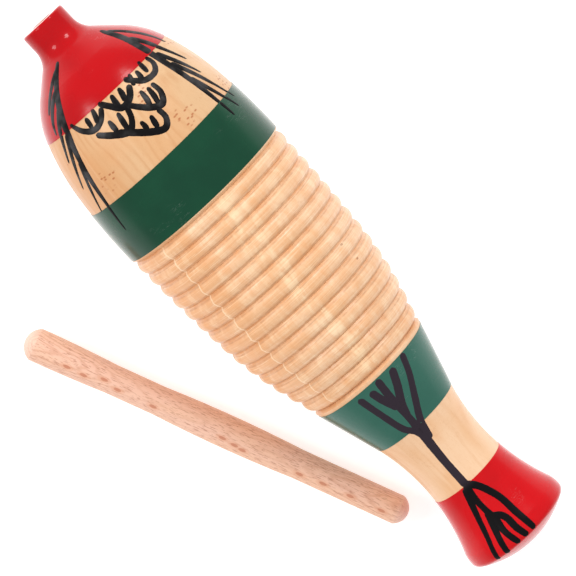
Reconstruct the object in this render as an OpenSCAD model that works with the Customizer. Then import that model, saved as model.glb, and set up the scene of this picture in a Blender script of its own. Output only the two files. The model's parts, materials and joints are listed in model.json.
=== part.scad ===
// Fish guiro: a turned and hollowed wooden scraper instrument with rubbing ridges, painted in bands,
// lying on the floor beside its loose hardwood scraper stick.
// Millimetres, +Z up. The origin is the middle of the floor area that the two take up,
// +X runs along the instrument from mouth to tail, and the floor is Z = 0.

/* [Body] */
// Length of the instrument from mouth face to tail end
total_len = 305.5; // [304:0.5:308]
// Radius at the widest ring
body_r = 41.75; // [41:0.25:42.5]
// Distance of the widest ring from the mouth face
widest_x = 97; // [96:0.5:98]
// Angle of the lengthwise glue joint around the axis, from straight up
seam_angle = 44; // [0:1:90]

/* [Mouth] */
// Radius of the mouth neck
neck_r = 10.6; // [10.2:0.1:11]
// Straight length of the mouth neck
neck_len = 7.8; // [7.4:0.1:8.2]
// Radius of the sound hole through the neck
mouth_hole_r = 5; // [3:0.5:6]
// Rounding of the mouth's outer rim
mouth_round = 1; // [0.5:0.1:1.5]

/* [Ridges] */
// Number of rubbing ridges
ridge_count = 14; // [12:1:16]
// Distance of the first groove from the mouth face
ridge_start = 101.2; // [101.2:0.1:102]
// Distance of the last groove from the mouth face
ridge_end = 200.7; // [200:0.1:201]
// Depth of the grooves below the ridge crests
ridge_depth = 1.6; // [1.2:0.1:2]

/* [Tail] */
// Distance of the waist's narrowest ring from the mouth face
waist_x = 256.2; // [255:0.2:257]
// Radius at the waist
waist_r = 18; // [17.5:0.25:18.5]
// Largest radius of the tail
tail_r = 25.5; // [25:0.25:26]
// Rounding of the tail's outer corner
tail_round = 2.5; // [2:0.25:3]

/* [Paint] */
// Thickness of each paint coat
coat_t = 0.15; // [0.1:0.05:0.3]
// Rear edge of the red coat on the mouth and head
red_head_end = 39.4; // [38:0.2:41]
// Front edge of the green coat ahead of the ridges
green_front_start = 73.6; // [72:0.2:76]
// Rear edge of the green coat ahead of the ridges
green_front_end = 99.4; // [98:0.1:99.4]
// Front edge of the green coat behind the ridges
green_rear_start = 203.3; // [203:0.1:204]
// Rear edge of the green coat behind the ridges
green_rear_end = 231.8; // [230:0.2:234]
// Front edge of the red coat on the tail
red_tail_start = 265.3; // [263:0.2:268]

/* [Scraper] */
// Length of the scraper stick
stick_len = 183; // [150:1:200]
// Radius of the stick between its swellings
stick_r = 6.6; // [6:0.1:7]
// Extra radius of the two swellings
stick_swell = 0.8; // [0.4:0.1:1.2]
// Distance of the stick's middle from the mouth face, along X
stick_x = 177.2; // [160:0.2:190]
// Sideways distance of the stick's middle from the instrument's axis
stick_side = 65.6; // [63:0.2:90]
// Turn of the stick from the instrument's axis, in degrees
stick_turn = 22; // [10:1:24]

/* [Hidden] */
$fn = 180;
// Segments of a full circle for the long, shallow curves.
long_fn = 720;
// A small angle where two curves of one profile join, so that they cross cleanly, in degrees.
crease = 1;
// Amount by which the tail's rounding stands past the curves that it joins.
bite = 0.01;
// Amount by which a hollow curve cuts into the stretch that it runs from.
dig = 0.03;
// Overlap of neighbouring cutting shapes.
lap = 1;
// Height of the cutting shapes.
reach = 60;

// Curves of the head, each as [centre x, centre r, radius], from the widest ring forward.
brow_arc = 265;
cheek_arc = 112;
cheek_x = 62;
lip_arc = 41;
lip_x = 37.7;
head_slope = 48;
head_line_x = 24;
function disc_y(d, x) = d[1] + sqrt(d[2] * d[2] - (x - d[0]) * (x - d[0]));
function disc_angle(d, x) = acos((x - d[0]) / d[2]);
function joined(d, x, r) = [
    x - r * cos(disc_angle(d, x) + crease),
    disc_y(d, x) - r * sin(disc_angle(d, x) + crease),
    r
];
brow = [widest_x, body_r - brow_arc, brow_arc];
cheek = joined(brow, cheek_x, cheek_arc);
lip = joined(cheek, lip_x, lip_arc);
head_line_y = disc_y(lip, head_line_x);

// Hollow curve that runs from the neck into the head's cone, to the nearest micrometre.
fillet_gap = (head_line_x - neck_len) * sin(head_slope) - (head_line_y - neck_r) * cos(head_slope) + dig;
neck_fillet = round(1000 * fillet_gap / (1 - cos(head_slope))) / 1000;
fillet_run = neck_fillet * sin(head_slope);

// Straight cone behind the ridges, and the waist's hollow curve that it runs into.
rear_slope = 16.2;
waist_arc = 95;
waist_y = waist_r + waist_arc;
cone_x = waist_x - waist_arc * sin(rear_slope);
cone_y = waist_y - waist_arc * cos(rear_slope) + dig;
function cone_r(x) = cone_y + tan(rear_slope) * (cone_x - x);

// Crest line of the ridges: a long arc, then a shorter one, then the straight cone.
back_arc = 790;
back_x = 155;
back = [widest_x, body_r - back_arc, back_arc];
back_y = disc_y(back, back_x);
back_slope = 90 - disc_angle(back, back_x);
hip_drop = tan(rear_slope) * (sin(rear_slope) - sin(back_slope)) - (cos(back_slope) - cos(rear_slope));
hip_arc = (cone_r(back_x) - back_y) / hip_drop;
hip = [back_x - hip_arc * sin(back_slope), back_y - hip_arc * cos(back_slope), hip_arc];
hip_x = hip[0] + hip_arc * sin(rear_slope);
function crest(x) = x < back_x ? disc_y(back, x) : x < hip_x ? disc_y(hip, x) : cone_r(x);
function crest_slope(x) = atan(crest(x - 0.5) - crest(x + 0.5));

// Ridges, evenly spaced between the first and the last groove.
pitch = (ridge_end - ridge_start) / ridge_count;
ridge_round = (pitch * pitch / 4 + ridge_depth * ridge_depth) / (2 * ridge_depth);
ridge_core = 3;
groove_slope = 50;
function ridge_at(i) = ridge_start + (i + 0.5) * pitch;
function ridge_cx(i) = ridge_at(i) - ridge_round * sin(crest_slope(ridge_at(i)));
function ridge_cy(i) = crest(ridge_at(i)) - ridge_round * cos(crest_slope(ridge_at(i)));

// Tail: an outer swelling, a dome on the end, and the rounded corner between them.
swell_arc = 15;
swell_y = tail_r - swell_arc;
swell_gap = waist_arc + swell_arc - dig;
swell_x = waist_x + sqrt(swell_gap * swell_gap - (waist_y - swell_y) * (waist_y - swell_y));
touch_x = waist_x + (swell_x - waist_x) * waist_arc / swell_gap;
tail_dome = 45;
dome_x = total_len - tail_dome;
to_swell = swell_arc - tail_round;
to_dome = tail_dome - tail_round;
span = norm([swell_x - dome_x, swell_y]);
span_run = (to_dome * to_dome - to_swell * to_swell + span * span) / (2 * span);
span_rise = sqrt(to_dome * to_dome - span_run * span_run);
corner_x = dome_x + (span_run * (swell_x - dome_x) - span_rise * swell_y) / span;
corner_y = (span_run * swell_y + span_rise * (swell_x - dome_x)) / span;

// Hollow: a bored mouth, a round front, a gentle taper under the ridges and a rounded end.
cup_x = 56;
cup_r = 33;
hollow_r = 36.5;
hollow_taper = 7.4;
end_x = 165;
end_arc = 28;
end_r = hollow_r - (end_x - widest_x) * tan(hollow_taper);

// Resting pose: the floor touches the tail's corner and the ridge that it meets first.
corner_reach = tail_round + coat_t + bite;
function lie_at(i) =
    atan((ridge_cy(i) - corner_y) / (corner_x - ridge_cx(i)))
    + asin((ridge_round - corner_reach) / norm([corner_x - ridge_cx(i), ridge_cy(i) - corner_y]));
lie = max([for (i = [0 : ridge_count - 1]) lie_at(i)]);
axis_z = corner_x * sin(lie) + corner_y * cos(lie) + corner_reach;

// Stick: two swellings that it rests on, one near its head-side end and one near its middle.
tip_swell_at = 8;
mid_swell_at = 97;
swell_half = 33;
stick_arc = (swell_half * swell_half + stick_swell * stick_swell) / (2 * stick_swell);
blunt_end_arc = 8;
round_end_arc = 7;
stick_top = stick_r + stick_swell;

// The floor area that the instrument and the stick take up.
floor_x0 = mouth_round * cos(lie) - (neck_r - mouth_round) * sin(lie) - mouth_round - coat_t;
floor_x1 = dome_x * cos(lie) + tail_dome + coat_t;
floor_y0 = -stick_side - (stick_len / 2 - blunt_end_arc) * sin(stick_turn) - blunt_end_arc;
floor_y1 = body_r + coat_t;
middle_x = (floor_x0 + floor_x1) / 2;
middle_y = (floor_y0 + floor_y1) / 2;

wood_upper = [0.93, 0.77, 0.58];
wood_lower = [0.90, 0.73, 0.54];
wood_beech = [0.86, 0.66, 0.50];
paint_red = [0.80, 0.08, 0.11];
paint_green = [0.13, 0.35, 0.27];
paint_sage = [0.33, 0.51, 0.45];

// Profiles are drawn with x along the axis and y as the radius. A coat's outer face has a grow of more than 0.

// A disc of a profile.
module disc(d, grow) {
    translate([d[0], d[1]])
        circle(r = d[2] + grow, $fn = long_fn);
}

// Everything between two distances from the mouth face, up from the height y0.
module stretch(x0, x1, y0) {
    translate([x0, y0])
        square([x1 - x0, reach - y0]);
}

// Everything under a straight line that passes a point at an angle.
module under_line(x, y, angle, grow) {
    translate([x, y])
        rotate(angle)
            translate([-4 * reach, -8 * reach + grow])
                square([8 * reach, 8 * reach]);
}

// Space outside the mouth neck and its rounded rim.
module off_neck(grow) {
    difference() {
        stretch(-lap, mouth_round, neck_r - mouth_round);
        translate([mouth_round, neck_r - mouth_round])
            circle(r = mouth_round + grow);
    }
    stretch(mouth_round, neck_len, neck_r + grow);
    stretch(mouth_round, neck_len + fillet_run + lap, neck_r + neck_fillet);
    intersection() {
        translate([neck_len, neck_r + neck_fillet])
            circle(r = neck_fillet - grow);
        stretch(neck_len, neck_len + neck_fillet, 0);
    }
}

// Space outside the head, from the hollow curve to the first groove.
module off_head(grow) {
    difference() {
        stretch(neck_len + fillet_run, head_line_x + lap, 0);
        under_line(head_line_x, head_line_y, head_slope, grow);
    }
    difference() {
        stretch(head_line_x - lap, lip_x + lap / 2, 0);
        disc(lip, grow);
    }
    difference() {
        stretch(lip_x - lap / 2, cheek_x + lap / 2, 0);
        disc(cheek, grow);
    }
    difference() {
        stretch(cheek_x - lap / 2, ridge_start + lap, 0);
        disc(brow, grow);
    }
}

// Space outside the ridges. The smooth parts fall away to the first and the last groove.
module off_ridges() {
    difference() {
        stretch(ridge_start - 2 * lap, ridge_end + 2 * lap, 0);
        under_line(ridge_start, crest(ridge_start) - ridge_depth, -groove_slope, 0);
        under_line(ridge_end, crest(ridge_end) - ridge_depth, groove_slope, 0);
        for (i = [0 : ridge_count - 1])
            translate([ridge_cx(i), ridge_cy(i)])
                circle(r = ridge_round);
        polygon(concat(
            [[ridge_end + pitch, -lap], [ridge_start - pitch, -lap]],
            [for (i = [-1 : ridge_count + 1]) [ridge_start + i * pitch, crest(ridge_start + i * pitch) - ridge_core]]
        ));
    }
}

// Space outside the cone behind the ridges and outside the waist.
module off_waist(grow) {
    difference() {
        stretch(ridge_end - lap, cone_x + lap, 0);
        under_line(cone_x, cone_y, -rear_slope, grow);
    }
    translate([waist_x, waist_y])
        circle(r = waist_arc - grow, $fn = long_fn);
}

// Space outside the tail's swelling, its rounded corner and its domed end.
module off_tail(grow) {
    swell_turn = atan2(corner_y - swell_y, corner_x - swell_x);
    dome_turn = atan2(corner_y, corner_x - dome_x);
    ax = swell_x + (swell_arc + grow) * cos(swell_turn);
    ay = swell_y + (swell_arc + grow) * sin(swell_turn);
    bx = dome_x + (tail_dome + grow) * cos(dome_turn);
    by = (tail_dome + grow) * sin(dome_turn);
    difference() {
        stretch(touch_x, corner_x + lap, swell_y);
        translate([swell_x, swell_y])
            circle(r = swell_arc + grow);
        translate([corner_x, corner_y])
            circle(r = tail_round + grow + bite);
    }
    difference() {
        translate([ax, ay])
            rotate(atan2(by - ay, bx - ax))
                translate([-reach, 0])
                    square([2 * reach, reach]);
        translate([corner_x, corner_y])
            circle(r = tail_round + grow + bite);
    }
    difference() {
        stretch(corner_x, total_len + reach, -lap);
        translate([dome_x, 0])
            circle(r = tail_dome + grow, $fn = long_fn);
    }
}

// Hollow of the body with the sound hole through the neck.
module hollow() {
    translate([-lap, -lap])
        square([cup_x - cup_r + 2 * lap, mouth_hole_r + lap]);
    intersection() {
        translate([cup_x, 0])
            circle(r = cup_r);
        stretch(cup_x - cup_r - lap, cup_x, -lap);
    }
    polygon([[cup_x, -lap], [cup_x, cup_r], [widest_x, hollow_r], [end_x, end_r], [end_x, -lap]]);
    intersection() {
        translate([end_x, 0])
            circle(r = end_arc);
        under_line(end_x, end_r, -hollow_taper, 0);
        stretch(end_x, end_x + reach, -lap);
    }
}

// Wood of the body.
module wood_profile() {
    difference() {
        stretch(0, total_len + lap, 0);
        off_neck(0);
        off_head(0);
        off_ridges();
        off_waist(0);
        off_tail(0);
        hollow();
    }
}

// Front of the body's outline, grown for a coat, as far as x1.
module head_outline(grow, x1) {
    difference() {
        stretch(-grow, x1, 0);
        off_neck(grow);
        off_head(grow);
    }
}

// Rear of the body's outline, grown for a coat, between two distances from the mouth face.
module rear_outline(grow, x0, x1) {
    difference() {
        stretch(x0, x1, 0);
        off_waist(grow);
        off_tail(grow);
    }
}

// A profile turned about the axis from one angle through another, in the resting pose. Straight up is 0.
module turned(from, through) {
    translate([-middle_x, -middle_y, axis_z])
        rotate([0, lie, 0])
            rotate([from, 0, 0])
                rotate([0, 90, 0])
                    rotate([0, 0, 180])
                        rotate_extrude(angle = through)
                            mirror([1, -1])
                                children();
}

// Upper half of the turned wooden body, glued to the lower half along the axis.
module body_shell_upper() {
    color(wood_upper)
        turned(seam_angle + 180, 180)
            wood_profile();
}

// Lower half of the turned wooden body, on the side of the scraper stick.
module body_shell_lower() {
    color(wood_lower)
        turned(seam_angle, 180)
            wood_profile();
}

// Red coat on the mouth and the front of the head.
module coat_red_head() {
    color(paint_red)
        turned(0, 360)
            difference() {
                head_outline(coat_t, red_head_end);
                head_outline(0, red_head_end + lap);
                hollow();
            }
}

// Green coat ahead of the ridges.
module coat_green_front() {
    color(paint_green)
        turned(0, 360)
            intersection() {
                difference() {
                    disc(brow, coat_t);
                    disc(brow, 0);
                }
                stretch(green_front_start, green_front_end, 0);
            }
}

// Lighter green coat behind the ridges.
module coat_green_rear() {
    color(paint_sage)
        turned(0, 360)
            difference() {
                rear_outline(coat_t, green_rear_start, green_rear_end);
                rear_outline(0, green_rear_start - lap, green_rear_end + lap);
            }
}

// Red coat on the tail.
module coat_red_tail() {
    color(paint_red)
        turned(0, 360)
            difference() {
                rear_outline(coat_t, red_tail_start, total_len + lap);
                rear_outline(0, red_tail_start - lap, total_len + lap);
            }
}

// Loose hardwood scraper stick, lying on its two swellings.
module scraper_stick() {
    color(wood_beech)
        translate([stick_x - middle_x, -stick_side - middle_y, stick_top])
            rotate([0, 0, stick_turn])
                rotate([0, 90, 0])
                    translate([0, 0, -stick_len / 2])
                        rotate_extrude()
                            mirror([1, -1])
                                stick_profile();
}

// Profile of the stick: a plain stretch with two swellings, a blunt end and a rounder one.
module stick_profile() {
    difference() {
        stretch(-lap, stick_len + lap, 0);
        difference() {
            stretch(-2 * lap, stick_len + 2 * lap, stick_r);
            for (x = [tip_swell_at, mid_swell_at])
                translate([x, stick_top - stick_arc])
                    circle(r = stick_arc, $fn = long_fn);
        }
        difference() {
            stretch(-2 * lap, blunt_end_arc, -lap);
            translate([blunt_end_arc, 0])
                circle(r = blunt_end_arc);
        }
        difference() {
            stretch(stick_len - round_end_arc, stick_len + 2 * lap, -lap);
            translate([stick_len - round_end_arc, 0])
                circle(r = round_end_arc);
        }
    }
}

body_shell_upper();
body_shell_lower();
coat_red_head();
coat_green_front();
coat_green_rear();
coat_red_tail();
scraper_stick();
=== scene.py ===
"""A painted wooden fish guiro and its scraper stick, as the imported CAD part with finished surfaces.

Lengths on the instrument are in millimetres along its axis from the mouth face. Angles go round the axis in
degrees: 0 is straight up in the resting pose, and positive is the side away from the scraper stick.
"""

import json
import math
import random

import bmesh
import bpy
from mathutils import Matrix, Vector
from mathutils.bvhtree import BVHTree


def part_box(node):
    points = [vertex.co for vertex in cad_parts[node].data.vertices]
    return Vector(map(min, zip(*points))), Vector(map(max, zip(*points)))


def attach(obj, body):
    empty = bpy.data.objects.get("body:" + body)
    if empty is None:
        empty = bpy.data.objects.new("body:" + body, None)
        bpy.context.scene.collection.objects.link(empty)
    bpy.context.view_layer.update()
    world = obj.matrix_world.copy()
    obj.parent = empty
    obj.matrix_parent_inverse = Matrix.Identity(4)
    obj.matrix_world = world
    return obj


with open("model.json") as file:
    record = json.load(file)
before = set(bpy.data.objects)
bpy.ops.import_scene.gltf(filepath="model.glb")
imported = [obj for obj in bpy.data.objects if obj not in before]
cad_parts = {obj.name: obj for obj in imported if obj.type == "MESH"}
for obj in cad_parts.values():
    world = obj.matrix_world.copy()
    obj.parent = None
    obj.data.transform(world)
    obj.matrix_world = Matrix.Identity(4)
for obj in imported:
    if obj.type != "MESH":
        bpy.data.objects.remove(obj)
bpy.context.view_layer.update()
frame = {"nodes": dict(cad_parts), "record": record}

MM = 0.001

# Resting pose of the instrument, from the record: the middle of the mouth face, and the way to the tail.
mouth_hole = next(mount for mount in frame["record"]["mounts"] if mount["name"] == "mouth_hole")
MOUTH = Vector(mouth_hole["pos_m"])
ALONG = -Vector(mouth_hole["axis"]).normalized()
SIDE = Vector((0, 1, 0))
TOP = ALONG.cross(SIDE)

# Scraper stick: its middle and its turn on the floor.
stick_low, stick_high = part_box("scraper_stick")
STICK_TURN = math.radians(22)
STICK_MIDDLE = (stick_low + stick_high) / 2
STICK_ALONG = Vector((math.cos(STICK_TURN), math.sin(STICK_TURN), 0))
STICK_ACROSS = Vector((-math.sin(STICK_TURN), math.cos(STICK_TURN), 0))

BODY_NODES = (
    "body_shell_upper",
    "body_shell_lower",
    "coat_red_head",
    "coat_green_front",
    "coat_green_rear",
    "coat_red_tail",
)

# Rubbing ridges, as in the CAD: where they start and end, and how many there are.
RIDGE_START = 101.2
RIDGE_END = 200.7
RIDGE_COUNT = 14
RIDGE_PITCH = (RIDGE_END - RIDGE_START) / RIDGE_COUNT

# Angle of the lengthwise glue joint, on the stick's side.
SEAM = -44

# Stretches along the instrument in which one look changes into the next.
NECK_TO_HEAD = (12, 20)
SCALES_TO_BAND = (60, 75)
UNDER_FRONT_BAND = (90, 100)
HEAD_WOOD_END = (94, 104)
RIDGES_TO_CONE = (190, 200)
WAIST_TO_TAIL = (262, 268)

WHITE = (1, 1, 1)


def srgb(r, g, b):
    """A colour given in 0 to 255 steps, as linear light."""
    return tuple(((v / 255 + 0.055) / 1.055) ** 2.4 if v > 10.3 else v / 255 / 12.92 for v in (r, g, b))


# ------------------------------------------------------------------------------------------------ materials


class Nodes:
    """A new material, with short calls for the nodes that these surfaces use."""

    def __init__(self, name):
        self.material = bpy.data.materials.new(name)
        self.material.use_nodes = True
        self.tree = self.material.node_tree
        self.tree.nodes.clear()
        self.surface = self.new("ShaderNodeBsdfPrincipled")
        out = self.new("ShaderNodeOutputMaterial")
        self.tree.links.new(self.surface.outputs[0], out.inputs["Surface"])

    def new(self, kind):
        return self.tree.nodes.new(kind)

    def plug(self, value, socket):
        """Links a socket, or sets a number, vector or colour."""
        if isinstance(value, bpy.types.NodeSocket):
            self.tree.links.new(value, socket)
        elif socket.type == "RGBA" and not isinstance(value, (int, float)):
            socket.default_value = (*value, 1)
        elif socket.type == "RGBA":
            socket.default_value = (value, value, value, 1)
        else:
            socket.default_value = value

    def set(self, **values):
        for name, value in values.items():
            self.plug(value, self.surface.inputs[name.replace("_", " ")])

    def math(self, op, a, b=0.0):
        n = self.new("ShaderNodeMath")
        n.operation = op
        for value, socket in zip((a, b), n.inputs):
            self.plug(value, socket)
        return n.outputs[0]

    def times(self, a, b):
        return self.math("MULTIPLY", a, b)

    def plus(self, a, b):
        return self.math("ADD", a, b)

    def minus(self, a, b):
        return self.math("SUBTRACT", a, b)

    def distance(self, a, b):
        return self.math("ABSOLUTE", self.minus(a, b))

    def coords(self, origin, *directions):
        """How far each point is from origin along each direction, in millimetres."""
        place = self.new("ShaderNodeTexCoord").outputs["Object"]
        away = self.new("ShaderNodeVectorMath")
        away.operation = "SUBTRACT"
        self.plug(place, away.inputs[0])
        away.inputs[1].default_value = origin
        found = []
        for direction in directions:
            dot = self.new("ShaderNodeVectorMath")
            dot.operation = "DOT_PRODUCT"
            self.plug(away.outputs[0], dot.inputs[0])
            dot.inputs[1].default_value = Vector(direction) / MM
            found.append(dot.outputs["Value"])
        return found

    def combine(self, x, y, z):
        n = self.new("ShaderNodeCombineXYZ")
        for value, socket in zip((x, y, z), n.inputs):
            self.plug(value, socket)
        return n.outputs[0]

    def drawn_out(self, place, along, across, shift=0.0):
        """A place scaled by along in its first length and by across in the others, for a grained texture."""
        x, y, z = place
        last = self.plus(self.times(z, across), shift)
        return self.combine(self.times(x, along), self.times(y, across), last)

    def wrapped(self, x, angle, along, turning, shift=0.0):
        """A place on the body's skin, unrolled, for textures that go round the body."""
        return self.combine(self.times(x, along), self.times(angle, turning), shift)

    def noise(self, vector, detail=2, roughness=0.5, scale=1.0):
        n = self.new("ShaderNodeTexNoise")
        self.plug(vector, n.inputs["Vector"])
        for name, value in (("Scale", scale), ("Detail", detail), ("Roughness", roughness)):
            n.inputs[name].default_value = value
        return n.outputs["Fac"]

    def cells(self, vector, scale=1.0, flat=False):
        """Distance to the nearest of a set of scattered points, in space or only in x and y."""
        n = self.new("ShaderNodeTexVoronoi")
        n.voronoi_dimensions = "2D" if flat else "3D"
        self.plug(vector, n.inputs["Vector"])
        n.inputs["Scale"].default_value = scale
        n.inputs["Randomness"].default_value = 1.0
        return n.outputs["Distance"]

    def fade(self, value, low, high, to_low=0.0, to_high=1.0):
        """Smooth change from to_low, at low and less, to to_high, at high and more."""
        n = self.new("ShaderNodeMapRange")
        n.interpolation_type = "SMOOTHSTEP"
        self.plug(value, n.inputs["Value"])
        ends = (("From Min", low), ("From Max", high), ("To Min", to_low), ("To Max", to_high))
        for name, end in ends:
            self.plug(end, n.inputs[name])
        return n.outputs[0]

    def mix(self, amount, a, b, mode="MIX"):
        n = self.new("ShaderNodeMix")
        n.data_type = "RGBA"
        n.blend_type = mode
        self.plug(amount, n.inputs[0])
        self.plug(a, n.inputs[6])
        self.plug(b, n.inputs[7])
        return n.outputs[2]

    def bump(self, height, distance, strength=1.0, under=None):
        """Height from 0 to 1, as a relief of distance millimetres."""
        n = self.new("ShaderNodeBump")
        self.plug(strength, n.inputs["Strength"])
        n.inputs["Distance"].default_value = distance * MM
        self.plug(height, n.inputs["Height"])
        if under is not None:
            self.plug(under, n.inputs["Normal"])
        return n.outputs[0]


def around(n, y, z):
    """Angle round the axis in degrees."""
    return n.times(n.math("ARCTAN2", y, z), 180 / math.pi)


def spot(n, x, y, at_x, at_y, half_x, half_y):
    """1 in a small oval about a point, and 0 outside it."""
    dx = n.math("DIVIDE", n.minus(x, at_x), half_x)
    dy = n.math("DIVIDE", n.minus(y, at_y), half_y)
    far = n.plus(n.times(dx, dx), n.times(dy, dy))
    return n.fade(far, 0.5, 1.2, 1.0, 0.0)


def stripe(n, value, middle, half):
    """1 where value is at middle, falling to 0 at half to each side of it."""
    return n.fade(n.distance(value, middle), 0.0, half, 1.0, 0.0)


def within(n, x, start, end, margin):
    """1 between start and end, fading over margin to each side of both of them."""
    return n.times(n.fade(x, start - margin, start + margin), n.fade(x, end - margin, end + margin, 1.0, 0.0))


def groove_shade(n, x):
    """Two masks of painted shade: the broad hollow of a groove, and the thin dark line along each of its
    sides.
    """
    place = n.math("FRACT", n.math("DIVIDE", n.minus(x, RIDGE_START), RIDGE_PITCH))
    off_crest = n.distance(place, 0.5)
    after_start = n.fade(x, RIDGE_START - 1, RIDGE_START)
    before_end = n.fade(x, RIDGE_END, RIDGE_END + 1, 1.0, 0.0)
    inside = n.times(after_start, before_end)
    hollow = n.times(n.fade(off_crest, 0.26, 0.40), inside)
    line = n.times(stripe(n, off_crest, 0.36, 0.07), inside)
    return hollow, line


# Wood of the body.
WOOD_PALE = srgb(233, 194, 157)
WOOD_HONEY = srgb(226, 178, 134)
WOOD_BROWN = srgb(206, 142, 88)
# Painted shade on the stick's side of the body.
WOOD_NEAR_SIDE_SHADE = srgb(222, 156, 100)
HEAD_TINT = srgb(232, 226, 210)
PATCH_ORANGE = srgb(226, 158, 100)
PATCH_CREAM = srgb(250, 222, 182)
# Painted highlight along the top of the ridges.
TOP_HIGHLIGHT_CREAM = srgb(250, 224, 184)
FLECK = srgb(164, 84, 30)
KNOT = srgb(132, 70, 30)
# Painted shade in the grooves between the ridges, with some stain in the hollow.
GROOVE_SHADE_AND_STAIN = srgb(196, 132, 82)
GROOVE_EDGE_SHADE = srgb(160, 104, 66)
TURNED_DARK = srgb(214, 148, 96)
TURNED_PALE = srgb(250, 222, 186)
LATHE_DARK = srgb(196, 138, 90)
SEAM_PALE = srgb(252, 228, 192)

# Two small knots among the ridges: distance from the mouth, and angle.
KNOTS = ((161, 46), (152, 44))


def body_wood(name, seed, turn):
    """Lacquered wood of a half shell: lengthwise rings of the log, patches, flecks, pores and lathe marks,
    with painted shade in the grooves and on the stick's side, and a painted highlight along the top.
    """
    n = Nodes(name)
    place = n.coords(MOUTH, ALONG, SIDE, TOP)
    x, y, z = place
    angle = around(n, y, z)

    # Growth rings: planes across the blank, tilted by turn, which wander along the grain.
    across = n.plus(n.times(y, math.cos(turn)), n.times(z, math.sin(turn)))
    wander = n.noise(n.drawn_out(place, 0.014, 0.05, seed), 3)
    rings = n.plus(n.times(across, 0.30), n.times(wander, 5.0))
    late = stripe(n, n.math("FRACT", rings), 0.5, 0.32)

    # Long soft streaks, fine fibres along the grain, and broad clouds of tone.
    streak = n.noise(n.drawn_out(place, 0.014, 0.35, seed), 4)
    fibre = n.noise(n.drawn_out(place, 0.22, 5.0), 3, 0.6)
    blotch = n.noise(n.drawn_out(place, 0.03, 0.06))
    wood = n.mix(n.fade(blotch, 0.35, 0.65), WOOD_PALE, WOOD_HONEY)
    ringed = n.times(n.fade(streak, 0.35, 0.7, 0.1, 0.5), n.fade(x, *UNDER_FRONT_BAND, 1.0, 0.45))
    wood = n.mix(n.times(late, ringed), wood, WOOD_BROWN)
    wood = n.mix(n.fade(streak, 0.56, 0.74, 0.0, 0.5), wood, WOOD_PALE)
    wood = n.mix(n.fade(fibre, 0.52, 0.75, 0.0, 0.4), wood, WOOD_BROWN)

    # Painted shade: the stick's side of the blank is painted browner.
    wood = n.mix(n.fade(y, -40, -4, 0.65, 0.0), wood, WOOD_NEAR_SIDE_SHADE)

    # Where the ridges were cut, the wood shows orange and cream patches. A broken cream streak along the top
    # is a painted highlight.
    cut = within(n, x, RIDGE_START, RIDGE_END, 2)
    patch = n.noise(n.wrapped(x, angle, 0.09, 0.14, seed), 3, 0.6)
    wood = n.mix(n.times(cut, n.fade(patch, 0.48, 0.66, 0.0, 0.32)), wood, PATCH_ORANGE)
    wood = n.mix(n.times(cut, n.fade(patch, 0.36, 0.48, 0.22, 0.0)), wood, PATCH_CREAM)
    top_highlight = n.times(n.fade(n.distance(angle, 3), 2, 11, 0.42, 0.0), n.fade(patch, 0.42, 0.55, 1.0, 0.2))
    wood = n.mix(n.times(cut, top_highlight), wood, TOP_HIGHLIGHT_CREAM)

    # The head's wood is deeper in colour than the rest.
    head = n.times(n.fade(x, *HEAD_WOOD_END, 1.0, 0.0), n.fade(blotch, 0.3, 0.7, 1.0, 0.75))
    wood = n.mix(head, wood, HEAD_TINT, "MULTIPLY")

    # Ray flecks: short brown dots in groups, mostly on the head.
    near = n.cells(n.wrapped(x, angle, 0.55, 0.20), flat=True)
    groups = n.noise(n.wrapped(x, angle, 0.10, 0.05, seed), 1)
    fleck = n.times(n.fade(near, 0.12, 0.30, 1.0, 0.0), n.fade(groups, 0.61, 0.66))
    fleck = n.times(fleck, n.fade(x, *UNDER_FRONT_BAND, 1.0, 0.12))
    wood = n.mix(n.times(fleck, 0.75), wood, FLECK)
    for at, round_at in KNOTS:
        knot = spot(n, x, angle, at, round_at, 0.5, 1.3)
        wood = n.mix(n.times(knot, 0.75), wood, KNOT)

    # Grooves between the ridges get painted shade, with some stain in their hollow, and a thin line of
    # painted shade along each side. The lathe leaves fine and coarse marks.
    hollow, groove_side_shade = groove_shade(n, x)
    wood = n.mix(n.times(hollow, 0.24), wood, GROOVE_SHADE_AND_STAIN)
    wood = n.mix(n.times(groove_side_shade, n.fade(streak, 0.35, 0.65, 0.10, 0.42)), wood, GROOVE_EDGE_SHADE)
    lathe = n.noise(n.wrapped(x, angle, 6.0, 0.004, seed))
    turned = n.noise(n.wrapped(x, angle, 2.6, 0.035, seed + 3), 3, 0.6)
    wood = n.mix(n.times(cut, n.fade(turned, 0.50, 0.70, 0.0, 0.45)), wood, TURNED_DARK)
    wood = n.mix(n.times(cut, n.fade(turned, 0.30, 0.44, 0.40, 0.0)), wood, TURNED_PALE)
    lathe_shade = n.times(n.fade(lathe, 0.55, 0.7, 0.0, 0.3), n.plus(0.25, n.times(cut, 0.75)))
    wood = n.mix(lathe_shade, wood, LATHE_DARK)

    # Glue joint: a thin pale line that wanders by about a degree, and is clearest across the ridges.
    drift = n.noise(n.combine(n.times(x, 0.35), 0.0, 0.0))
    off = n.minus(n.minus(angle, SEAM), n.times(n.minus(drift, 0.5), 3.0))
    line = n.fade(n.math("ABSOLUTE", off), 0.2, 0.8, 1.0, 0.0)
    line = n.times(line, n.plus(0.08, n.times(cut, 0.38)))
    wood = n.mix(line, wood, SEAM_PALE)

    pores = n.noise(n.drawn_out(place, 0.9, 9.0))
    relief = n.bump(pores, 0.05, 0.35)
    relief = n.bump(lathe, 0.05, n.times(cut, 0.45), relief)
    rough = n.fade(streak, 0.3, 0.7, 0.36, 0.46)
    n.set(Base_Color=wood, Roughness=rough, Normal=relief, Specular_IOR_Level=0.35)
    n.set(Coat_Weight=0.4, Coat_IOR=1.25, Coat_Roughness=0.2)
    return n.material


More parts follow.
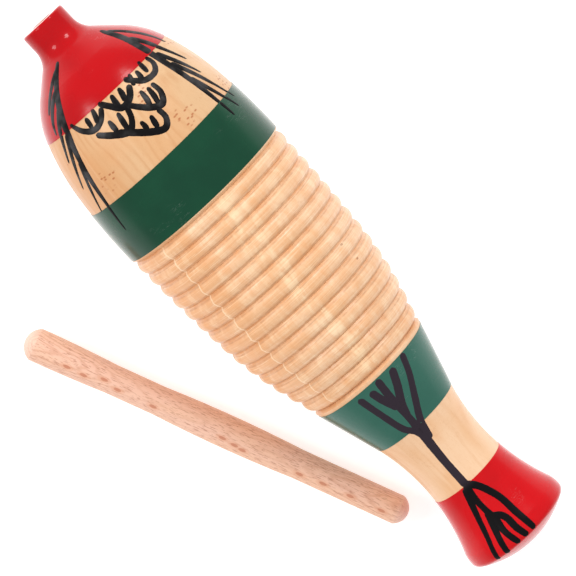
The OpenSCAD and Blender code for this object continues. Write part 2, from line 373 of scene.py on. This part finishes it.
def gloss_paint(name, colour, deep, seed):
    """Gloss paint on turned wood: slight orange peel, faint brush streaks, a few nibs and thin scuffs."""
    n = Nodes(name)
    place = n.coords(MOUTH, ALONG, SIDE, TOP)
    x, y, z = place
    angle = around(n, y, z)
    cloud = n.noise(n.drawn_out(place, 0.05, 0.05), 3)
    brush = n.noise(n.wrapped(x, angle, 1.3, 0.02, seed))
    peel = n.noise(n.combine(x, y, z), scale=0.55)
    nib = n.fade(n.cells(n.combine(x, y, z), 0.22), 0.03, 0.08, 1.0, 0.0)
    scuff = stripe(n, n.noise(n.wrapped(x, angle, 0.5, 0.05, seed), 4, 0.6), 0.5, 0.006)
    worn = n.fade(n.noise(n.wrapped(x, angle, 0.08, 0.03, seed + 4)), 0.60, 0.70)

    paint = n.mix(n.fade(cloud, 0.35, 0.7, 0.0, 0.7), colour, deep)
    paint = n.mix(n.fade(brush, 0.5, 0.75, 0.0, 0.18), paint, deep)
    paint = n.mix(n.times(n.times(scuff, worn), 0.10), paint, WHITE)
    relief = n.bump(peel, 0.03, 0.22)
    relief = n.bump(brush, 0.02, 0.10, relief)
    relief = n.bump(nib, 0.06, 0.4, relief)
    rough = n.fade(cloud, 0.35, 0.7, 0.25, 0.32)
    n.set(Base_Color=paint, Roughness=rough, Normal=relief, Specular_IOR_Level=0.05)
    n.set(Coat_Weight=1.0, Coat_IOR=1.22, Coat_Roughness=n.fade(x, *NECK_TO_HEAD, 0.06, 0.20))
    return n.material


MARK_BLACK = srgb(12, 10, 12)
MARK_REAR_SHEEN = srgb(48, 40, 48)
MARK_HEAD_SHEEN = srgb(66, 62, 68)


def brush_paint():
    """Black paint of the brush marks: streaked and glossier on the head, with painted sheen greying them in
    cloudy patches on the head and all over the cone and waist.
    """
    n = Nodes("brush_black")
    place = n.coords(MOUTH, ALONG, SIDE, TOP)
    x = place[0]
    streak = n.noise(n.drawn_out(place, 0.5, 3.0), 3)
    cloud = n.noise(n.drawn_out(place, 0.12, 0.12))
    head = n.fade(x, *SCALES_TO_BAND, 1.0, 0.0)
    # Painted sheen: the marks are painted grey all over the cone and waist, and in cloudy patches on the
    # head.
    thin = n.times(n.fade(x, *RIDGES_TO_CONE), n.fade(x, *WAIST_TO_TAIL, 1.0, 0.0))
    head_sheen_patch = n.times(n.fade(cloud, 0.50, 0.64), head)
    paint = n.mix(thin, MARK_BLACK, MARK_REAR_SHEEN)
    paint = n.mix(n.times(head_sheen_patch, n.fade(streak, 0.4, 0.7, 0.1, 0.5)), paint, MARK_HEAD_SHEEN)
    rough = n.fade(streak, 0.3, 0.7, 0.34, 0.50)
    sheen = n.plus(0.08, n.times(n.times(head, n.fade(cloud, 0.42, 0.6)), 0.24))
    n.set(Base_Color=paint, Roughness=rough, Normal=n.bump(streak, 0.05, 0.5), Specular_IOR_Level=sheen)
    return n.material


# Wood of the stick.
BEECH_PINK = srgb(236, 190, 166)
BEECH_TAN = srgb(236, 188, 158)
BEECH_LATE = srgb(206, 146, 116)
BEECH_RAY = srgb(180, 116, 92)
EYE_RIM = srgb(222, 158, 124)
EYE_CORE = srgb(190, 112, 78)
BEECH_END = srgb(236, 204, 190)

# Eyes in a row on the stick's upper face: distance along from the middle, and offset across.
STICK_EYES = (
    (-70, -2.6), (-62, -2.9), (-53, -0.9), (-46, -2.6), (-29, -2.8), (4, -2.7), (10, -3.4),
    (14, -4.0), (41, -3.2), (52, -2.7), (65, -2.7), (80, -2.8),
)


def stick_wood():
    """Sanded beech: pinkish, with arched figure, stronger at the ends, dark rays and small orange eyes."""
    n = Nodes("stick_beech")
    place = n.coords(STICK_MIDDLE, STICK_ALONG, STICK_ACROSS, (0, 0, 1))
    x, y, z = place
    out = n.math("ABSOLUTE", x)

    # Growth rings that slant outwards from the middle to both ends, so that they draw arches.
    bend = n.noise(n.drawn_out(place, 0.04, 0.15), 3)
    rings = n.plus(n.times(z, 0.9), n.times(bend, 3.0))
    rings = n.plus(rings, n.times(out, 0.07))
    late = stripe(n, n.math("FRACT", rings), 0.5, 0.3)

    # Dark rays: short dashes along the grain. Orange eyes: small ovals with a paler rim.
    ray = n.fade(n.noise(n.drawn_out(place, 0.30, 2.2), 2, 0.6), 0.54, 0.64)
    eye, rim = 0.0, 0.0
    for at, off in STICK_EYES:
        eye = n.math("MAXIMUM", eye, spot(n, x, y, at, off, 1.9, 0.75))
        rim = n.math("MAXIMUM", rim, spot(n, x, y, at, off, 3.6, 1.5))

    tone = n.noise(n.drawn_out(place, 0.02, 0.1))
    wood = n.mix(n.fade(tone, 0.35, 0.65), BEECH_PINK, BEECH_TAN)
    wood = n.mix(n.times(late, n.fade(out, 20, 80, 0.25, 0.5)), wood, BEECH_LATE)
    wood = n.mix(n.times(ray, 0.6), wood, BEECH_RAY)
    wood = n.mix(n.times(rim, 0.4), wood, EYE_RIM)
    wood = n.mix(n.times(eye, 0.7), wood, EYE_CORE)
    wood = n.mix(n.fade(out, 84, 91, 0.0, 0.6), wood, BEECH_END)
    pores = n.noise(n.drawn_out(place, 1.2, 10.0))
    relief = n.bump(ray, 0.05, 0.4, n.bump(pores, 0.06, 0.6))
    n.set(Base_Color=wood, Roughness=n.fade(pores, 0.3, 0.7, 0.5, 0.66), Normal=relief)
    return n.material


def paint_node(name, material):
    """Gives a CAD node its finished material."""
    mesh_object = frame["nodes"][name]
    mesh_object.data.materials.clear()
    mesh_object.data.materials.append(material)


# Paints: the colour of each, and a deeper tone of it.
RED_HEAD = (srgb(180, 2, 11), srgb(166, 1, 9))
RED_TAIL = (srgb(200, 3, 14), srgb(184, 2, 11))
GREEN = (srgb(12, 66, 44), srgb(8, 56, 38))
# The rear band's green is painted lighter than the front band's, as painted sheen.
GREEN_REAR_SHEEN = (srgb(50, 99, 85), srgb(44, 93, 79))

paint_node("body_shell_upper", body_wood("wood_upper", seed=1.7, turn=math.radians(35)))
paint_node("body_shell_lower", body_wood("wood_lower", seed=6.3, turn=math.radians(100)))
paint_node("coat_red_head", gloss_paint("paint_red_head", *RED_HEAD, seed=3.0))
paint_node("coat_red_tail", gloss_paint("paint_red_tail", *RED_TAIL, seed=4.0))
paint_node("coat_green_front", gloss_paint("paint_green", *GREEN, seed=5.0))
paint_node("coat_green_rear", gloss_paint("paint_sage", *GREEN_REAR_SHEEN, seed=8.0))
paint_node("scraper_stick", stick_wood())


# ---------------------------------------------------------------------------------------------- brush marks


def surface_tree():
    """The painted body's outside, to lay the brush marks on."""
    corners, faces = [], []
    for name in BODY_NODES:
        data = frame["nodes"][name].data
        start = len(corners)
        corners += [v.co.copy() for v in data.vertices]
        faces += [[start + i for i in p.vertices] for p in data.polygons]
    return BVHTree.FromPolygons(corners, faces)


BODY = surface_tree()

# Rays towards the body start this far from its axis, which is outside it everywhere.
OUTSIDE = 90 * MM


def on_body(x, angle):
    """Point and outward normal of the body at a distance from the mouth and an angle round the axis."""
    a = math.radians(angle)
    outward = SIDE * math.sin(a) + TOP * math.cos(a)
    centre = MOUTH + ALONG * (x * MM)
    hit, normal, _, _ = BODY.ray_cast(centre + outward * OUTSIDE, -outward)
    if normal.dot(outward) < 0:
        normal = -normal
    return hit, normal


def smooth_path(points, steps):
    """A curve through given points, as a Catmull-Rom spline."""
    found = []
    ends = [points[0]] + list(points) + [points[-1]]
    for i in range(len(points) - 1):
        p0, p1, p2, p3 = ends[i:i + 4]
        for s in range(steps):
            t = s / steps
            found.append(tuple(
                0.5 * (
                    2 * b + (c - a) * t + (2 * a - 5 * b + 4 * c - d) * t * t
                    + (3 * b - a - 3 * c + d) * t ** 3
                )
                for a, b, c, d in zip(p0, p1, p2, p3)
            ))
    found.append(tuple(points[-1]))
    return found


# A brush stroke: height of its film's bulge and of its edge in mm, how much its width wavers, how many faces
# it has across, and how many steps there are between two of its points.
FILM = 0.10
FILM_EDGE = 0.012
WAVER = 0.06
ACROSS = 8
STEPS = 10

# Square of the share of its width that a stroke keeps at its tips, so that no face shrinks to nothing.
TIP = 0.02


def stroke(bm, points, rng):
    """Adds a thin raised film of paint through points of (distance, angle, width), rounded at both ends."""
    frames = [(*on_body(x, angle), width) for x, angle, width in smooth_path(points, STEPS)]
    length = [0.0]
    for a, b in zip(frames, frames[1:]):
        length.append(length[-1] + (b[0] - a[0]).length / MM)
    total = length[-1]
    rings = []
    for i, (here, out, width) in enumerate(frames):
        before, after = frames[max(i - 1, 0)][0], frames[min(i + 1, len(frames) - 1)][0]
        across = out.cross((after - before).normalized()).normalized()
        cap = width / 2
        near_end = min(length[i], total - length[i])
        round_end = math.sqrt(max(TIP, 1 - (1 - min(near_end / cap, 1)) ** 2))
        half = cap * round_end * (1 + WAVER * (rng.random() - 0.5))
        row = []
        for k in range(ACROSS + 1):
            u = 2 * k / ACROSS - 1
            offset = here + across * (u * half * MM) - MOUTH
            run = offset.dot(ALONG)
            flat = offset - ALONG * run
            angle = math.degrees(math.atan2(flat.dot(SIDE), flat.dot(TOP)))
            base, normal = on_body(run / MM, angle)
            lift = FILM * (1 - abs(u) ** 3) + FILM_EDGE
            row.append(bm.verts.new(base + normal * (lift * MM)))
        rings.append(row)
    for a, b in zip(rings, rings[1:]):
        for k in range(ACROSS):
            bm.faces.new((a[k], a[k + 1], b[k + 1], b[k]))


BRUSH = brush_paint()
rng = random.Random(11)

# Each stroke is a list of (distance from the mouth, angle, width in mm).
GILL_FAR = (
    (
        (19, 57, 1.8), (22, 52, 3.2), (28, 48, 3.8), (36, 45.5, 3.8),
        (50, 46, 3.4), (66, 48, 2.8), (82, 50, 1.2),
    ),
    ((21, 57, 2.4), (27, 61, 2.8), (33, 65, 2.6), (41, 69, 1.2)),
    ((29, 50, 3.4), (34, 53, 3.2), (40, 56, 2.8), (52, 63, 1.2)),
    ((41, 48, 3.0), (50, 54, 2.6), (60, 60, 1.0)),
    ((48, 48, 3.0), (60, 55, 2.6), (77, 65, 1.0)),
    ((58, 48, 2.6), (68, 53, 2.4), (81, 60, 1.0)),
)
GILL_NEAR = (
    (
        (16, -26, 1.8), (20, -35, 3.2), (25, -39.5, 3.6), (32, -42.5, 3.8),
        (42, -46, 3.6), (50, -48.5, 3.2), (66, -52, 2.6), (86, -55, 1.0),
    ),
    ((18, -32, 2.4), (21, -44, 2.8), (25, -52, 2.6), (30, -59, 1.4)),
    ((24, -41, 2.8), (28, -50, 3.0), (33, -56, 2.4), (38, -58, 1.2)),
    ((30, -43, 2.8), (38, -52, 2.8), (50, -61, 1.2)),
    ((40, -47, 2.8), (50, -55, 2.4), (62, -64, 1.0)),
    ((52, -50, 2.4), (62, -56, 2.0), (74, -63, 1.0)),
)
SCALES = (
    ((39, 39, 2.3), (43, 39, 2.5), (46, 33, 2.6), (45, 23, 2.8), (39, 14, 2.5)),
    ((42, 14, 2.6), (46, 8, 3.0), (47, 0, 3.0), (43, -6, 2.8), (39, -11, 2.5)),
    ((41, -11, 2.5), (45, -17, 2.6), (46, -25, 2.8), (43, -33, 2.5), (38, -39, 1.9)),
    ((48, 25, 2.3), (53, 25, 2.6), (57, 20, 3.0), (55, 13, 3.0), (50, 6, 2.6), (46, 2, 2.5)),
    ((48, 2, 2.5), (53, -1, 2.6), (56, -7, 3.0), (53, -16, 3.0), (48, -26, 2.5)),
    ((57, 15, 2.5), (62, 15, 2.6), (65, 10, 3.0), (62, 2, 3.2), (56, -8, 3.0), (53, -13, 2.5)),
)
TEARS = (
    ((38, 32, 1.6), (41, 31, 2.5), (44, 30, 1.8)),
    ((40, 25, 1.6), (43, 24, 2.5), (45, 22, 1.8)),
    ((39, 20, 1.5), (41, 18, 2.3), (44, 16, 1.8)),
    ((40, 7, 1.6), (43, 6, 2.6), (46, 4, 2.0)),
    ((40, 0, 1.6), (43, -1, 2.6), (46, -1, 2.0)),
    ((39, -17, 1.6), (42, -18, 2.5), (45, -20, 2.0)),
    ((40, -25, 1.6), (42, -25, 2.5), (45, -25, 2.0)),
    ((48, 21, 1.6), (52, 20, 2.6), (56, 18, 2.1)),
    ((47, 16, 1.6), (51, 15, 2.6), (55, 13, 2.1)),
    ((47, -5, 1.6), (51, -6, 2.6), (55, -7, 2.1)),
    ((47, -13, 1.6), (50, -13, 2.6), (53, -13, 2.1)),
    ((57, 9, 1.6), (60, 8, 2.6), (63, 7, 2.1)),
    ((56, 2, 1.6), (59, 2, 2.5), (61, 1, 2.0)),
)
TAIL = (
    ((203.4, 29, 3.4), (212, 24, 3.2), (222, 13, 3.2), (231, 2, 3.2), (240, -4, 3.2)),
    ((204.6, 14, 3.6), (212, 8, 3.8), (220, -1, 3.6), (226, -5, 3.2)),
    ((203.8, -2, 3.4), (214, -4, 3.4), (226, -5, 3.2), (236, -7, 3.4)),
    ((206, -13, 3.6), (212, -11, 3.6), (220, -6, 3.2)),
    ((205.2, -25, 3.4), (216, -23, 3.2), (228, -19, 3.2), (233, -11, 3.2), (237, -8, 3.2)),
    ((228, -5, 3.6), (238, -8, 4.0), (252, -12, 3.6), (266, -13, 3.6)),
    (
        (265, -14, 3.8), (267, -6, 3.4), (270, 0, 3.2), (275, 5.5, 3.2),
        (280, 8.4, 3.2), (288, 8.8, 3.2), (298, 10.5, 2.8),
    ),
    ((265, -14, 3.8), (272, -16, 3.2), (278, -15, 2.8), (284, -13, 3.6), (290, -13.5, 3.0), (298, -9.5, 2.8)),
    ((282, -14, 3.0), (284, -6, 3.2), (287, -2.5, 3.2), (292, -2, 3.2), (298, 1, 2.8)),
    ((279, -15, 3.0), (285, -19, 3.2), (291, -22.5, 3.0), (298.6, -25.5, 2.8)),
    ((266, -16, 3.8), (271, -22, 3.2), (280, -29, 2.8), (290, -34, 2.6), (298.5, -38.5, 2.4)),
)

# The same marks are repeated on the underside. Those on the tail stop short of the rim that it stands on.
UNDERSIDE = 180
RIM_CLEAR = 290


def paint_marks(name, group, turn=0, last=math.inf):
    """A group of strokes as one piece, turned round the axis by turn degrees, with no point beyond last."""
    bm = bmesh.new()
    for points in group:
        kept = [(x, angle + turn, width) for x, angle, width in points if x <= last]
        stroke(bm, kept, rng)
    bmesh.ops.recalc_face_normals(bm, faces=bm.faces)
    mesh = bpy.data.meshes.new(name)
    bm.to_mesh(mesh)
    bm.free()
    for face in mesh.polygons:
        face.use_smooth = True
    mesh.materials.append(BRUSH)
    made = bpy.data.objects.new(name, mesh)
    bpy.context.scene.collection.objects.link(made)
    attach(made, "guiro")


STROKE_GROUPS = (
    ("gill_far", GILL_FAR),
    ("gill_near", GILL_NEAR),
    ("scales", SCALES),
    ("scale_tears", TEARS),
    ("tail_marks", TAIL),
)
for group_name, group in STROKE_GROUPS:
    paint_marks(group_name, group)
    paint_marks(f"{group_name}_under", group, UNDERSIDE, RIM_CLEAR)


# -------------------------------------------------------------------------------------- floor, light, camera

FLOOR_HALF = 3.0
FLOOR_GREY = (0.72, 0.72, 0.72)
FLOOR_GLOW = 0.56

# Brightness of the studio, from a little above the horizon to nearly overhead.
SKY_LOW, SKY_HIGH = 0.10, 0.85
LIGHT_LOW, LIGHT_HIGH = 0.78, 0.90

# Soft square lamps ahead of the mouth, one on each side: name, place in metres, and power in watts.
SOFTBOXES = (
    ("softbox_far", (-0.81, 0.86, 1.08), 9.0),
    ("softbox_near", (-0.81, -0.80, 1.08), 6.5),
)
SOFTBOX_SIZE = 0.4
SOFTBOX_AIM = Vector((0, 0, 0.05))

# Camera: its place and what it looks at, in mm from the mouth's middle, and which way is up in the picture.
CAMERA_PLACE = Vector((90.7, -1.6, 1511.5))
CAMERA_AIM = Vector((153.1, -1.6, -15.2))
CAMERA_UP = Vector((-0.72719, 0.68643, 0))
SENSOR = 36
LENS = 224.2375


def floor():
    """Plain white floor, which isn't part of the object."""
    corners = [(x * FLOOR_HALF, y * FLOOR_HALF, 0) for x, y in ((-1, -1), (1, -1), (1, 1), (-1, 1))]
    mesh = bpy.data.meshes.new("floor")
    mesh.from_pydata(corners, [], [(0, 1, 2, 3)])
    made = bpy.data.objects.new("floor", mesh)
    bpy.context.scene.collection.objects.link(made)
    n = Nodes("floor_white")
    n.set(Base_Color=FLOOR_GREY, Roughness=0.9, Emission_Color=WHITE, Emission_Strength=FLOOR_GLOW)
    made.data.materials.append(n.material)


def softbox(name, place, power):
    """A square area lamp that looks at the object."""
    data = bpy.data.lights.new(name, "AREA")
    data.shape = "RECTANGLE"
    data.size = data.size_y = SOFTBOX_SIZE
    data.energy = power
    lamp = bpy.data.objects.new(name, data)
    bpy.context.scene.collection.objects.link(lamp)
    lamp.location = place
    lamp.rotation_mode = "QUATERNION"
    lamp.rotation_quaternion = (SOFTBOX_AIM - Vector(place)).to_track_quat("-Z", "Y")


def lights():
    """A white studio, a little brighter overhead than at the horizon, and the lamps."""
    world = bpy.data.worlds.new("studio")
    bpy.context.scene.world = world
    world.use_nodes = True
    tree = world.node_tree
    sky = tree.nodes.new("ShaderNodeTexCoord")
    split = tree.nodes.new("ShaderNodeSeparateXYZ")
    height = tree.nodes.new("ShaderNodeMapRange")
    height.interpolation_type = "SMOOTHSTEP"
    ends = (("From Min", SKY_LOW), ("From Max", SKY_HIGH), ("To Min", LIGHT_LOW), ("To Max", LIGHT_HIGH))
    for name, value in ends:
        height.inputs[name].default_value = value
    tree.links.new(sky.outputs["Generated"], split.inputs[0])
    tree.links.new(split.outputs["Z"], height.inputs["Value"])
    back = tree.nodes["Background"]
    back.inputs["Color"].default_value = (*WHITE, 1)
    tree.links.new(height.outputs[0], back.inputs["Strength"])
    for name, place, power in SOFTBOXES:
        softbox(name, place, power)


def camera():
    """Nearly straight above, leaning a little, and turned so that the mouth is at the upper left."""
    data = bpy.data.cameras.new("camera")
    data.sensor_width = SENSOR
    data.lens = LENS
    data.clip_start, data.clip_end = 0.05, 20
    made = bpy.data.objects.new("camera", data)
    bpy.context.scene.collection.objects.link(made)
    place = MOUTH + CAMERA_PLACE * MM
    aim = MOUTH + CAMERA_AIM * MM
    back = (place - aim).normalized()
    up = (CAMERA_UP - back * CAMERA_UP.dot(back)).normalized()
    right = up.cross(back)
    made.matrix_world = Matrix.Translation(place) @ Matrix((right, up, back)).transposed().to_4x4()
    bpy.context.scene.camera = made


floor()
lights()
camera()
bpy.context.scene.view_settings.view_transform = "Standard"
